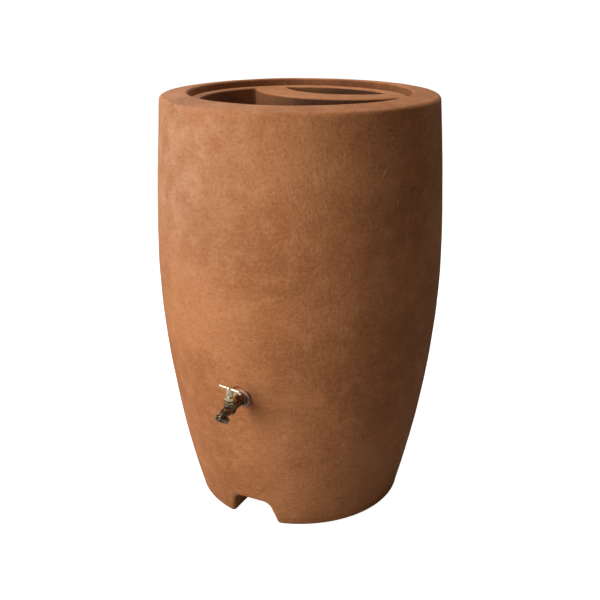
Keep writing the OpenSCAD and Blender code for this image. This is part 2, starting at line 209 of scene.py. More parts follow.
# %% Wires and finishes
class Wire:
    """One node output. Sums on wires add Math nodes."""

    def __init__(self, finish, socket):
        self.finish = finish
        self.socket = socket

    def sum(self, operation, first, second=None):
        values = {0: first} if second is None else {0: first, 1: second}
        return self.finish.node("ShaderNodeMath", {"operation": operation}, values)

    def __add__(self, other):
        return self.sum("ADD", self, other)

    def __radd__(self, other):
        return self.sum("ADD", other, self)

    def __sub__(self, other):
        return self.sum("SUBTRACT", self, other)

    def __rsub__(self, other):
        return self.sum("SUBTRACT", other, self)

    def __mul__(self, other):
        return self.sum("MULTIPLY", self, other)

    def __pow__(self, other):
        return self.sum("POWER", self, other)

    def size(self):
        return self.sum("ABSOLUTE", self)

    def between(self, low, high):
        """0 below low, 1 above high and a smooth step between them."""
        return self.finish.node(
            "ShaderNodeMapRange",
            {"interpolation_type": "SMOOTHSTEP"},
            {"Value": self, "From Min": low, "From Max": high},
        )


class Finish:
    """One material: its nodes, and short ways to add the ones used here."""

    def __init__(self, name):
        self.material = bpy.data.materials.new(name)
        self.material.use_nodes = True
        self.tree = self.material.node_tree
        self.shader = self.tree.nodes["Principled BSDF"]
        self.place = self.node("ShaderNodeTexCoord", out="Object")

    def plug(self, socket, value):
        if isinstance(value, Wire):
            self.tree.links.new(value.socket, socket)
        elif isinstance(value, tuple) and len(value) == 3 and socket.type == "RGBA":
            socket.default_value = (*value, 1)
        else:
            socket.default_value = value

    def node(self, kind, settings=None, values=None, out=0):
        made = self.tree.nodes.new(kind)
        for name, value in (settings or {}).items():
            setattr(made, name, value)
        for name, value in (values or {}).items():
            self.plug(made.inputs[name], value)
        return Wire(self, made.outputs[out])

    def vector_sum(self, operation, first, second, out=0):
        return self.node("ShaderNodeVectorMath", {"operation": operation}, {0: first, 1: second}, out)

    def stretched(self, x, y, z):
        """The place on the object with each axis scaled, for grain that runs one way."""
        return self.vector_sum("MULTIPLY", self.place, (x, y, z))

    def cloud(self, per_metre, detail=3, rough=0.55, place=None):
        """Soft random patches about 1 / per_metre metres across, from 0 to 1."""
        values = {"Vector": place or self.place, "Scale": per_metre, "Detail": detail, "Roughness": rough}
        return self.node("ShaderNodeTexNoise", None, values)

    def part_of_place(self, axis):
        return self.node("ShaderNodeSeparateXYZ", None, {"Vector": self.place}, out="XYZ".index(axis))

    def radius(self):
        """The distance from the barrel's axis."""
        x, y = self.part_of_place("X"), self.part_of_place("Y")
        return (x * x + y * y) ** 0.5

    def component(self, point, direction):
        """How far a place is from a point, measured along one direction."""
        away = self.vector_sum("SUBTRACT", self.place, point)
        return self.vector_sum("DOT_PRODUCT", away, direction, out="Value")

    def near(self, point, full, none):
        """1 within full metres of a point, 0 beyond none metres."""
        away = self.vector_sum("DISTANCE", self.place, point, out="Value")
        return 1 - away.between(full, none)

    def mix(self, share, first, second):
        """From colour first to colour second as share goes from 0 to 1."""
        return self.node(
            "ShaderNodeMix", {"data_type": "RGBA"}, {"Factor": share, 6: first, 7: second}, out=2
        )

    def bump(self, height_mm, strength=1.0):
        values = {"Height": height_mm, "Distance": MM, "Strength": strength}
        return self.node("ShaderNodeBump", None, values)

    def shade(self, **inputs):
        for name, value in inputs.items():
            socket = name.replace("_", " ").title().replace("Ior", "IOR")
            self.plug(self.shader.inputs[socket], value)
        return self.material


# %% [markdown]
# ## Stone-look finish
# The barrel's colour is in the plastic, and its stony face comes from the mould: soft lumps, a fine grain,
# bands that run round the wall like a brush stroke, and a few pits. The colour drifts between a pale and a
# deep terracotta, paler on the high spots of the grain and deeper in its low spots. Dust and a painted
# sheen pale the upper left, and painted shade darkens the inside of the mouth and the hollows. Heights are
# in millimetres, so that each feature has its real size.

# %% Stone-look finish
PALE = (0.56, 0.258, 0.122)
MIDDLE = (0.43, 0.160, 0.053)
DEEP = (0.31, 0.106, 0.032)
# Dust with a painted sheen, laid over the lit upper left of the front.
PALE_DUST_AND_SHEEN = (0.53, 0.305, 0.195)
# The colour of the painted shade inside the mouth and the hollows.
PAINTED_SHADE = (0.046, 0.018, 0.008)
WORN_RIM = (-0.130, -0.215, 0.875)
# Where the dust and the painted sheen are laid.
DUST_AND_SHEEN_PLACE = (-0.200, -0.220, 0.760)
# Each scar: its turn from the front in degrees, its height, and its slant in degrees.
SCARS = ((56, 0.760, 60), (54, 0.768, 10), (62, 0.700, 75), (60, 0.690, 30), (59, 0.505, 50), (57, 0.515, 5))
SCAR_WOBBLE = 0.007
# Where a scar is whole and where it has ended: across its line, along its line, and all round it.
SCAR_WIDTH = (0.0006, 0.0032)
SCAR_LENGTH = (0.005, 0.013)
SCAR_LIMIT = (0.03, 0.04)
SCAR_LIFT_MM = 3.0


def stone_look(name, painted_shade_share):
    """The moulded stone finish. Its second argument says, for a finish, where shade is painted into the
    colour, from 0 to 1.
    """
    f = Finish(name)
    clouds = f.cloud(4.2, detail=3, rough=0.5)
    patches = f.cloud(24, detail=4, rough=0.62)
    blotches = f.cloud(70, detail=4, rough=0.65)
    strokes = f.cloud(42, detail=5, rough=0.66, place=f.stretched(1, 1, 5.5))
    speckle = f.cloud(420, detail=2, rough=0.7)
    grain = f.cloud(900, detail=2)
    coarse = f.cloud(150, detail=4, rough=0.7)
    pits = coarse.between(0.64, 0.70) * f.cloud(11, detail=2).between(0.50, 0.60)
    worn_rim = f.near(WORN_RIM, 0.03, 0.075) * coarse.between(0.50, 0.60)
    scars_and_painted_highlight = nick_marks(f)
    wash = clouds * 0.55 + patches * 0.28 + blotches * 0.17
    colour = f.mix(wash.between(0.38, 0.62), DEEP, MIDDLE)
    bleached = strokes.between(0.35, 0.7) * 0.24 + patches.between(0.5, 0.75) * 0.3
    colour = f.mix(bleached + clouds.between(0.5, 0.68) * 0.2, colour, PALE)
    # Dust and a painted sheen: a paler, greyer colour over the upper left of the front, where the key light
    # falls.
    dust = f.near(DUST_AND_SHEEN_PLACE, 0.05, 0.36) * (0.12 + patches.between(0.3, 0.8) * 0.45 + strokes * 0.2)
    colour = f.mix(dust, colour, PALE_DUST_AND_SHEEN)
    # Paler on the high spots of the grain, and deeper in its low spots.
    colour = f.mix(coarse.between(0.48, 0.68) * 0.28 + speckle.between(0.5, 0.8) * 0.2, colour, PALE)
    colour = f.mix(coarse.between(0.50, 0.30) * 0.5 + grain.between(0.5, 0.3) * 0.2, colour, DEEP)
    # The raised scars get a painted highlight, with their colour mixed towards pale, as well as their lift
    # in the bump.
    colour = f.mix(scars_and_painted_highlight * 0.4, f.mix(pits * 0.5 + worn_rim * 0.4, colour, DEEP), PALE)
    # Painted shade: the colour darkens where the second argument says, inside the mouth and the hollows.
    colour = f.mix(painted_shade_share(f) * (0.84 + patches * 0.16), colour, PAINTED_SHADE)
    fine = strokes * 1.5 + blotches * 1.1 + coarse * 1.6 + grain * 0.2 + speckle * 0.6
    height = fine - pits * 0.6 - worn_rim * 1.1 + scars_and_painted_highlight * SCAR_LIFT_MM
    rough = 0.74 + patches * 0.16
    f.shade(sheen_weight=0.10, sheen_roughness=0.35, sheen_tint=(1.0, 0.66, 0.45, 1))
    f.shade(specular_ior_level=0.25)
    return f.shade(base_color=colour, roughness=rough, normal=f.bump(height))


def nick_marks(f):
    """Short raised scars right of the front, from scrapes on the model that the mould was made from. The
    same mask paints a pale highlight over them.
    """
    wobble = (f.cloud(80, detail=3) - 0.5) * SCAR_WOBBLE
    marks = 0.0
    for turn, height, slant in SCARS:
        side = spun("Z", turn) @ Vector((0, -1, 0))
        across = side.cross(Vector((0, 0, 1)))
        up_slope = math.radians(slant)
        along = Vector((0, 0, 1)) * math.sin(up_slope) - across * math.cos(up_slope)
        middle = side * BELLY_R + Vector((0, 0, height))
        off_line = (f.component(middle, along.cross(side)) + wobble).size()
        reach = f.component(middle, along).size()
        mark = (1 - off_line.between(*SCAR_WIDTH)) * (1 - reach.between(*SCAR_LENGTH))
        marks = marks + mark * f.near(middle, *SCAR_LIMIT)
    return marks


def painted_shade_in_mouth(finish):
    """Painted shade inside the mouth: a little all round the throat, and most at the back."""
    throat = 1 - finish.radius().between(MOUTH_R - 1.2 * MM, MOUTH_R + 2.5 * MM)
    return throat * (0.15 + finish.part_of_place("Y").between(-0.05, 0.17) * 0.65)


barrel_stone = stone_look("barrel_stone", painted_shade_in_mouth)
print("finish:", barrel_stone.name, len(barrel_stone.node_tree.nodes), "nodes")

# %% [markdown]
# ## Meshes from rings
# Nearly every piece here is a stack of rings: turned sections, tubes, and the hollows in the planter. One
# function joins rings of points into a closed skin. Rings needn't be evenly spaced, so they sit closer
# together where the surface holds small detail. A closed skin matters, because the cutting later only works
# on closed pieces.

# %% Meshes from rings
def make_piece(name, points, faces):
    mesh = bpy.data.meshes.new(name)
    mesh.from_pydata([tuple(p) for p in points], [], [tuple(int(i) for i in f) for f in faces])
    build = bmesh.new()
    build.from_mesh(mesh)
    bmesh.ops.recalc_face_normals(build, faces=build.faces)
    build.to_mesh(mesh)
    build.free()
    return dressed(new_object(name, mesh))


def dressed(piece, finish=None, sharp_angle=35):
    """Smooth shading, with edges over sharp_angle left crisp, and the piece's finish."""
    piece.data.polygons.foreach_set("use_smooth", [True] * len(piece.data.polygons))
    piece.data.set_sharp_from_angle(angle=math.radians(sharp_angle))
    if finish:
        piece.data.materials.clear()
        piece.data.materials.append(finish)
    return piece


def lofted(name, rings, closed_loop=False):
    """A closed skin through rings of equal length, capped at both ends unless it runs round to its start."""
    count = len(rings[0])
    points = [point for ring in rings for point in ring]
    pairs = [(k, k + 1) for k in range(len(rings) - 1)]
    faces = []
    if closed_loop:
        pairs.append((len(rings) - 1, 0))
    else:
        faces = [list(range(count)), list(range(len(points) - count, len(points)))]
    for low, high in pairs:
        for i in range(count):
            j = (i + 1) % count
            faces.append((low * count + i, low * count + j, high * count + j, high * count + i))
    return make_piece(name, points, faces)


def even_turn(count):
    return [2 * math.pi * i / count for i in range(count)]


def at(r, a, z):
    return (r * math.cos(a), r * math.sin(a), z)


def turned(name, section, angles=None, closed_loop=False):
    """A section of (radius, height) pairs turned about +Z."""
    rings = [[at(r, a, z) for a in angles or even_turn(96)] for r, z in section]
    return lofted(name, rings, closed_loop)


def arc(centre, radius, start, end, steps):
    """Points on an arc, from start to end in degrees."""
    turns = np.radians(np.linspace(start, end, steps + 1))
    return [(centre[0] + radius * math.cos(t), centre[1] + radius * math.sin(t)) for t in turns]


def spaced(*stretches):
    """Places along a line, from stretches of (start, end, spacing)."""
    places = [stretches[0][0]]
    for start, end, spacing in stretches:
        count = max(1, round(abs((end - start) / spacing)))
        places += [start + (end - start) * (i + 1) / count for i in range(count)]
    return places


# %% [markdown]
# ## Cutting and joining
# Holes and recesses are cut with Boolean modifiers, as a moulder trims them with a router. Each tool is a
# lofted piece of its own. The Manifold solver is quick and keeps the result closed.

# %% Cutting and joining
def keep_shape(piece):
    """Makes what the modifiers show the piece's own mesh."""
    bpy.context.view_layer.update()
    shown = piece.evaluated_get(bpy.context.evaluated_depsgraph_get())
    old = piece.data
    piece.data = bpy.data.meshes.new_from_object(shown)
    piece.modifiers.clear()
    bpy.data.meshes.remove(old)
    return piece


def combine(piece, tool, operation):
    modifier = piece.modifiers.new("combine", "BOOLEAN")
    modifier.operation = operation
    modifier.solver = "MANIFOLD"
    modifier.object = tool
    keep_shape(piece)


def cut(piece, *tools):
    for tool in tools:
        combine(piece, tool, "DIFFERENCE")
        bpy.data.objects.remove(tool)
    return piece


def join(piece, *others):
    for other in others:
        combine(piece, other, "UNION")
        bpy.data.objects.remove(other)
    return piece


def moved(piece, matrix):
    piece.data.transform(matrix)
    return piece


def rod(name, radius, start, end, sides=64):
    """A round bar along +Z between two heights."""
    return turned(name, [(radius, start), (radius, end)], even_turn(sides))


# %% [markdown]
# ## The tank's wall
# The wall swells from the foot to a belly above half height, and draws in again to a broad rim, whose top
# slopes gently outwards to a rounded edge. Inside the rim a short throat drops to the seat that the planter
# top rests on. The section below follows those curves, and it goes all the way round the wall, outside and
# inside, because the tank is hollow and its mouth shows the inside when the planter is lifted out.

# %% The tank's section
FOOT_DROP = 0.0779
RIM_DROP = 0.0171
FOOT_CURVE = 1.95
RIM_CURVE = 1.45
FOOT_ROUND = 0.012
RIM_ROUND = 0.009
RIM_FALL = 0.005
RIM_ARC = (5, 84)
LIP_ROUND = 0.005
THROAT_DROPS = (0.010, 0.015, 0.020)
SEAT_CORNER = 0.003
SEAT_EDGE = 0.002
LIP_DROP = 0.018
BASE_CAP_R = 0.04
TAP_BOSS_R = 0.034
CHANNEL_ZONE = 0.074
FINE_STEP = 0.0019
WALL_STEP = 0.0064
INNER_STEP = 0.03


def wall_radius(z):
    if z < BELLY_Z:
        return BELLY_R - FOOT_DROP * ((BELLY_Z - z) / BELLY_Z) ** FOOT_CURVE
    return BELLY_R - RIM_DROP * ((z - BELLY_Z) / (HEIGHT - BELLY_Z)) ** RIM_CURVE


foot_centre = (wall_radius(FOOT_ROUND) - FOOT_ROUND, FOOT_ROUND)
rim_edge_z = HEIGHT - RIM_FALL - RIM_ROUND
rim_centre = (wall_radius(rim_edge_z) - RIM_ROUND, rim_edge_z)


def outer_radius(z):
    """The tank's outer radius at any height, with the foot's round edge."""
    if z >= FOOT_ROUND:
        return wall_radius(z)
    sunk = FOOT_ROUND - max(z, 0)
    return foot_centre[0] + math.sqrt(FOOT_ROUND**2 - sunk**2)


outer_heights = spaced(
    (FOOT_ROUND, CHANNEL_ZONE, FINE_STEP),
    (CHANNEL_ZONE, TAP_Z - TAP_BOSS_R, WALL_STEP),
    (TAP_Z - TAP_BOSS_R, TAP_Z + TAP_BOSS_R, FINE_STEP),
    (TAP_Z + TAP_BOSS_R, rim_edge_z, WALL_STEP),
)
inner_heights = spaced((rim_edge_z, FOOT_ROUND + WALL, INNER_STEP))
outside = [(r, 0) for r in (BASE_CAP_R, 0.10, 0.16)]
outside += arc(foot_centre, FOOT_ROUND, -90, -8, 8)
outside += [(wall_radius(z), z) for z in outer_heights]
outside += arc(rim_centre, RIM_ROUND, *RIM_ARC, 8)
rim_from, rim_to = outside[-1], (MOUTH_R + LIP_ROUND, HEIGHT)
for share in np.linspace(0, 1, 9)[1:-1]:
    outside.append(tuple(a + (b - a) * share for a, b in zip(rim_from, rim_to)))
outside += arc((MOUTH_R + LIP_ROUND, HEIGHT - LIP_ROUND), LIP_ROUND, 90, 180, 7)
outside += [(MOUTH_R, HEIGHT - drop) for drop in THROAT_DROPS]
outside += arc((MOUTH_R - SEAT_CORNER, SEAT_Z + SEAT_CORNER), SEAT_CORNER, 0, -90, 4)
inside = arc((SEAT_R + SEAT_EDGE, SEAT_Z - SEAT_EDGE), SEAT_EDGE, 90, 180, 4)
inside += [(SEAT_R, SEAT_Z - LIP_DROP), (SEAT_R + WALL, SEAT_Z - LIP_DROP), (SEAT_R + WALL, SEAT_Z - WALL)]
inside += [(MOUTH_R + WALL, SEAT_Z - WALL), (MOUTH_R + WALL, HEIGHT - WALL)]
inside += arc(rim_centre, RIM_ROUND - WALL, *RIM_ARC[::-1], 4)
inside += [(wall_radius(z) - WALL, z) for z in inner_heights]
inside += [(wall_radius(WALL) - WALL - FOOT_ROUND, WALL), (BASE_CAP_R, WALL)]
print("section:", len(outside), "points outside,", len(inside), "inside")

# %% [markdown]
# ## Relief that has a real size
# A moulded stone face isn't flat. Broad swells, dents the size of a thumb and smaller lumps come from the
# model that the mould was taken from. They are in the mesh, so that they move the outline and the light as
# real ones do, and only finer grain is left to the finish. The relief fades out at the foot, at the channel
# and at the flat seats.

# %% Relief and skin
CHANNEL_TURN = -2.5
CHANNEL_HALF = 0.0515
CHANNEL_FLARE = 0.007
CHANNEL_TOP_HALF = 0.043
CHANNEL_CORNER = 0.020
CHANNEL_HEIGHT = 0.057
CHANNEL_END = 0.125
# How far from the ground, the channel and a seat the relief begins, and where it is whole.
PLAIN_FOOT = 0.002
PLAIN_BY_CHANNEL = 0.008
PLAIN_BY_SEAT = 0.004
RELIEF_REACHED = 0.03
# How many rings stay plain at either end of the section's outside.
PLAIN_RINGS_BASE = 4
PLAIN_RINGS_SEAT = 5
# The front is turned in finer steps, in degrees.
FRONT_HALF = 16
FRONT_STEP = 0.42
BACK_STEP = 1.55


def step(value, low, high):
    share = min(1.0, max(0.0, (value - low) / (high - low)))
    return share * share * (3 - 2 * share)


def relief_share(point):
    """How much relief there is at a place on the outside: none at the foot, the channel and the seats."""
    turned_back = spun("Z", -CHANNEL_TURN) @ point
    beside = max(abs(turned_back.x) - CHANNEL_HALF - CHANNEL_FLARE, turned_back.z - CHANNEL_HEIGHT)
    share = step(point.z, PLAIN_FOOT, RELIEF_REACHED)
    if turned_back.y < 0:
        share *= step(beside, PLAIN_BY_CHANNEL, RELIEF_REACHED)
        from_seat = math.hypot(point.x, point.z - TAP_Z) - TAP_SEAT_R
    else:
        from_seat = math.hypot(point.x, point.z - OVERFLOW_Z) - OVERFLOW_SEAT_R
    return share * step(from_seat, PLAIN_BY_SEAT, RELIEF_REACHED)


def relief(point):
    """Swells, dents and lumps, each finer and lower than the last."""
    broad = noise.noise(point * 5.5)
    dents = noise.noise(Vector((point.x * 16, point.y * 16, point.z * 24)))
    lumps = noise.noise(Vector((point.x * 42, point.y * 42, point.z * 75)))
    return (0.9 * broad + 0.4 * dents + 0.16 * lumps) * MM


def tank_skin():
    """The section turned all the way round, with the relief added along the outside's own slope."""
    front = -math.pi / 2
    fine = math.radians(FRONT_HALF)
    near_tap = (front - fine, front + fine, math.radians(FRONT_STEP))
    elsewhere = (front + fine, front - fine + 2 * math.pi, math.radians(BACK_STEP))
    angles = spaced(near_tap, elsewhere)[:-1]
    section = outside + inside
    rings = []
    for k, (r, z) in enumerate(section):
        if PLAIN_RINGS_BASE <= k < len(outside) - PLAIN_RINGS_SEAT:
            along_r = section[k + 1][0] - section[k - 1][0]
            along_z = section[k + 1][1] - section[k - 1][1]
            length = math.hypot(along_r, along_z)
            out_r, out_z = along_z / length, -along_r / length
            ring = []
            for a in angles:
                point = Vector(at(r, a, z))
                lift = relief(point) * relief_share(point)
                ring.append(point + Vector(at(out_r, a, out_z)) * lift)
        else:
            ring = [at(r, a, z) for a in angles]
        rings.append(ring)
    return lofted("tank", rings)


def faces_of(piece):
    return sum(len(p.vertices) - 2 for p in piece.data.polygons)


tank = tank_skin()
print("tank skin:", faces_of(tank), "triangles")

# %% [markdown]
# ## Tools with a flared mouth
# Where the channel and the tap's seat meet the round wall, the real edge is softly rounded. A Bevel can't
# follow that edge once it is cut, so the rounding is built into the cutting tool instead: its mouth flares
# like a trumpet's, and leaves a rounded edge behind. The wall's own formula gives the depth of the mouth at
# each point.

# %% Tools with a flared mouth
BEYOND = 3 * MM
BELOW_GROUND = 0.004


def rounded_floor(radius):
    """Steps round a floor's edge: how far the outline has grown, and how high above the floor it is."""
    turns = np.radians(np.linspace(0, 90, 7))
    return [(radius * (math.sin(t) - 1), radius * (1 - math.cos(t))) for t in turns]


def flared_mouth(radius, end):
    """Steps up a mouth that flares to end degrees and runs on past the surface: growth and depth below."""
    turns = np.radians(np.linspace(0, end, 8))
    steps = [(radius * (1 - math.cos(t)), radius * (1 - math.sin(t))) for t in turns]
    grow, depth = steps[-1]
    return steps + [(grow + BEYOND * math.sin(turns[-1]), depth - BEYOND * math.cos(turns[-1]))]


def channel_outline(grow):
    """The channel's outline in (x, z), grown outwards: flared at the ground, with round top corners."""
    foot_x = CHANNEL_HALF + CHANNEL_FLARE + grow
    corner_x = CHANNEL_TOP_HALF - CHANNEL_CORNER + grow
    corner_z = CHANNEL_HEIGHT - CHANNEL_CORNER + grow
    left = [(-foot_x, -BELOW_GROUND)] + arc((-foot_x, CHANNEL_FLARE), CHANNEL_FLARE, -90, -10, 6)
    left += arc((-corner_x, corner_z), CHANNEL_CORNER, 168, 92, 12)
    return left + [(-x, z) for x, z in reversed(left)]


def circle_outline(radius, height, steps=72):
    def outline(grow):
        return arc((0, height), radius + grow, 0, 360, steps)[:-1]
    return outline


def flared_tool(name, outline, flare, end_y, end_round=0.0, facing=-1):
    """A cutter through the tank's wall along Y, with a mouth that flares out to the wall's surface."""
    rings = []
    for grow, up in rounded_floor(end_round) if end_round else [(0, 0)]:
        rings.append([(x, end_y + facing * up, z) for x, z in outline(grow)])
    for grow, depth in flared_mouth(flare, 78):
        rings.append([(x, facing * (surface_y(x, z) - depth), z) for x, z in outline(grow)])
    rings.append([(x, facing * (BELLY_R + 0.02), z) for x, z in outline(grow)])
    return lofted(name, rings)


def surface_y(x, z):
    return math.sqrt(outer_radius(z) ** 2 - x * x)


# %% [markdown]
# ## The tank's channel, seats and holes
# Under the front of the base a channel gives room for a drain plug. The moulding is the same thickness all
# over, so the channel has its own walls inside the tank, and the tap and the overflow have thickened flat
# seats. These are joined on first, trimmed to the middle of the wall so that nothing breaks through its
# outer face, and then cut.

# %% The tank's channel, seats and holes
DRAIN_Z = 0.028
DRAIN_BOSS_R = 0.022
DRAIN_BOSS_DEPTH = 0.018
DRAIN_HOLE_R = 0.017
CHANNEL_MOUTH_ROUND = 0.008
CHANNEL_END_ROUND = 0.006
OVERFLOW_BOSS_R = 0.036
OVERFLOW_HOLE_R = 0.0165
TAP_HOLE_R = 0.0106
BOSS_DEPTH = 0.006
SEAT_MOUTH_ROUND = 0.0018
# From where to where each hole's tool reaches along -Y.
THROUGH_CHANNEL = (0.10, 0.13)
THROUGH_FRONT = (0.26, 0.29)
THROUGH_BACK = (-0.30, -0.26)


def along_y(piece, x, z):
    """Turns a piece made along +Z to point along -Y, at that x and height."""
    return moved(piece, placed(x, 0, z) @ spun("X", 90))


def wall_core():
    """A solid that ends in the middle of the tank's wall."""
    middle = WALL / 2
    section = [(0.01, middle), (foot_centre[0], middle)]
    section += arc(foot_centre, FOOT_ROUND - middle, -80, -8, 6)
    section += [(wall_radius(z) - middle, z) for z in spaced((FOOT_ROUND + 0.002, HEIGHT - 0.03, 0.012))]
    section += [(0.01, HEIGHT - 0.03)]
    return turned("wall_core", section, even_turn(180))


channel_turn = spun("Z", CHANNEL_TURN)
channel_end_y = -CHANNEL_END + WALL
block_rings = [[(x, y, z) for x, z in channel_outline(WALL)] for y in (channel_end_y, -BELLY_R)]
added = moved(lofted("channel_walls", block_rings), channel_turn)
tap_seat = circle_outline(TAP_SEAT_R, TAP_Z)
overflow_seat = circle_outline(OVERFLOW_SEAT_R, OVERFLOW_Z)
join(
    added,
    moved(
        along_y(rod("drain_boss", DRAIN_BOSS_R, CHANNEL_END - DRAIN_BOSS_DEPTH, CHANNEL_END), 0, DRAIN_Z),
        channel_turn,
    ),
    along_y(rod("tap_boss", TAP_BOSS_R, -TAP_FACE_Y - BOSS_DEPTH, BELLY_R), 0, TAP_Z),
    along_y(rod("overflow_boss", OVERFLOW_BOSS_R, -BELLY_R, BOSS_DEPTH - OVERFLOW_FACE_Y), 0, OVERFLOW_Z),
)
core = wall_core()
combine(added, core, "INTERSECT")
bpy.data.objects.remove(core)
join(tank, added)
cut(
    tank,
    moved(
        flared_tool("channel_tool", channel_outline, CHANNEL_MOUTH_ROUND, -CHANNEL_END, CHANNEL_END_ROUND),
        channel_turn,
    ),
    moved(along_y(rod("drain_hole", DRAIN_HOLE_R, *THROUGH_CHANNEL), 0, DRAIN_Z), channel_turn),
    flared_tool("tap_seat_tool", tap_seat, SEAT_MOUTH_ROUND, TAP_FACE_Y),
    along_y(rod("tap_hole", TAP_HOLE_R, *THROUGH_FRONT), 0, TAP_Z),
    flared_tool("overflow_seat_tool", overflow_seat, SEAT_MOUTH_ROUND, OVERFLOW_FACE_Y, facing=1),
    along_y(rod("overflow_hole", OVERFLOW_HOLE_R, *THROUGH_BACK), 0, OVERFLOW_Z),
)
dressed(tank, barrel_stone, sharp_angle=40)
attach(tank, "barrel")
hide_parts("barrel_shell")
print("tank:", faces_of(tank), "triangles")

# %% [markdown]
# ## The planter top
# The planter top is a separate moulding that drops into the mouth: a flat deck with a crescent-shaped well
# for plants at the front and a shallow basin at the back that takes the rain through a screen. Both
# outlines are made of two arcs that meet in two rounded tips.

# %% The planter's outlines
TOP_TURN = -6.5
TOP_WALL = 0.004
DECK_Z = SEAT_Z + 0.008
DECK_R = MOUTH_R - 0.0015
WELL_R = 0.203
BRIDGE_R = 0.202
BRIDGE_BACK = 0.208
BASIN_R = 0.1475
BASIN_BACK = 0.235
BASIN_OUTER_R = WELL_R - TOP_WALL - 0.001
WELL_FLOOR = DECK_Z - 0.150
BASIN_FLOOR = DECK_Z - 0.045
TIP_ROUND = 0.003
TIP_LEAST = 0.0008


def crossing(r1, r2, apart):
    """Where a circle about the axis meets one that is centred apart behind it, on the right-hand side."""
    y = (r1 * r1 - r2 * r2 + apart * apart) / (2 * apart)
    return math.sqrt(r1 * r1 - y * y), y


def arcs(*pieces):
    points = []
    for centre, radius, start, end, steps in pieces:
        points += arc(centre, radius, start, end, steps)[:-1]
    return points


def well_outline(grow):
    tip = max(TIP_LEAST, TIP_ROUND + grow)
    outer, inner = WELL_R + grow, BRIDGE_R - grow
    x, y = crossing(outer - tip, inner + tip, BRIDGE_BACK)
    first = math.degrees(math.atan2(y, x))
    second = math.degrees(math.atan2(BRIDGE_BACK - y, -x))
    return arcs(
        ((0, 0), outer, -180 - first, first, 100),
        ((x, y), tip, first, second, 8),
        ((0, BRIDGE_BACK), inner, second - 180, -second, 60),
        ((-x, y), tip, 180 - second, 180 - first, 8),
    )


def basin_outline(grow):
    tip = max(TIP_LEAST, TIP_ROUND + grow)
    outer, inner = BASIN_OUTER_R + grow, BASIN_R + grow
    x, y = crossing(outer - tip, inner - tip, BASIN_BACK)
    first = math.degrees(math.atan2(y, x))
    second = math.degrees(math.atan2(y - BASIN_BACK, x))
    return arcs(
        ((0, 0), outer, first, 180 - first, 48),
        ((-x, y), tip, 180 - first, 180 - second, 8),
        ((0, BASIN_BACK), inner, 180 - second, 360 + second, 60),
        ((x, y), tip, 360 + second, 360 + first, 8),
    )


print("outlines:", len(well_outline(0)), "and", len(basin_outline(0)), "points")

# %% [markdown]
# ## The planter's hollows and deck
# The body of each hollow is its outline grown by the wall. The tool that empties it has a rounded floor
# edge and a flared mouth, so that the cut leaves soft edges like those of the real moulding.

# %% The planter's hollows and deck
DECK_ROUND = 0.0025
DECK_CAP_R = 0.02
WELL_FLOOR_ROUND = 0.006
BASIN_FLOOR_ROUND = 0.004
BODY_ROUNDER = 0.002
HOLLOW_MOUTH_ROUND = 0.005
INLET_R = 0.042
INLET_Y = 0.146
WELL_DRAIN_R = 0.005
WELL_DRAIN_Y = -0.115
WELL_DRAIN_TURN = 26
THROUGH_FLOOR = 0.01


def hollow_tool(name, outline, floor, floor_round):
    """A cutter for a hollow: a rounded floor edge, upright walls and a mouth that flares out to the deck."""
    steps = [(grow, floor + up) for grow, up in rounded_floor(floor_round)]
    steps += [(grow, DECK_Z - depth) for grow, depth in flared_mouth(HOLLOW_MOUTH_ROUND, 76)]
    steps.append((steps[-1][0], steps[-1][1] + 0.01))
    return lofted(name, [[(x, y, z) for x, y in outline(grow)] for grow, z in steps])


def hollow_body(name, outline, floor, floor_round):
    """The outside of a hollow: the same outline grown by the wall, with a rounded bottom edge."""
    steps = [(TOP_WALL + grow, floor - TOP_WALL + up) for grow, up in rounded_floor(floor_round)]
    steps.append((TOP_WALL, DECK_Z - TOP_WALL / 2))
    return lofted(name, [[(x, y, z) for x, y in outline(grow)] for grow, z in steps])


def floor_hole(name, radius, floor, sides=64):
    return rod(name, radius, floor - THROUGH_FLOOR, floor + THROUGH_FLOOR, sides)


under_deck = DECK_Z - TOP_WALL
deck_section = [(DECK_CAP_R, under_deck), (DECK_R - TOP_WALL, under_deck), (DECK_R - TOP_WALL, SEAT_Z)]
deck_section += [(DECK_R, SEAT_Z), (DECK_R, DECK_Z - 2 * DECK_ROUND)]
deck_section += arc((DECK_R - DECK_ROUND, DECK_Z - DECK_ROUND), DECK_ROUND, 0, 90, 5)
deck_section.append((DECK_CAP_R, DECK_Z))
planter = turned("planter", deck_section, even_turn(240))
join(
    planter,
    hollow_body("well_body", well_outline, WELL_FLOOR, WELL_FLOOR_ROUND + BODY_ROUNDER),
    hollow_body("basin_body", basin_outline, BASIN_FLOOR, BASIN_FLOOR_ROUND + BODY_ROUNDER),
)
cut(
    planter,
    hollow_tool("well_tool", well_outline, WELL_FLOOR, WELL_FLOOR_ROUND),
    hollow_tool("basin_tool", basin_outline, BASIN_FLOOR, BASIN_FLOOR_ROUND),
    moved(floor_hole("inlet_hole", INLET_R, BASIN_FLOOR), placed(y=INLET_Y)),
)
for place in range(-2, 3):
    hole = floor_hole("well_drain", WELL_DRAIN_R, WELL_FLOOR, 24)
    cut(planter, moved(hole, spun("Z", place * WELL_DRAIN_TURN) @ placed(y=WELL_DRAIN_Y)))
moved(planter, spun("Z", TOP_TURN))


def painted_shade_in_hollows(finish):
    """Painted shade on the walls and floors of the two hollows, darkest on the right, away from the key
    light.
    """
    below = 1 - finish.part_of_place("Z").between(DECK_Z - 3.5 * MM, DECK_Z - MM)
    return below * (0.5 + finish.part_of_place("X").between(-0.12, 0.03) * 0.5)


planter_stone = stone_look("planter_stone", painted_shade_in_hollows)
dressed(planter, planter_stone, sharp_angle=40)
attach(planter, "planter")
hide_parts("planter_top")
print("planter:", faces_of(planter), "triangles")

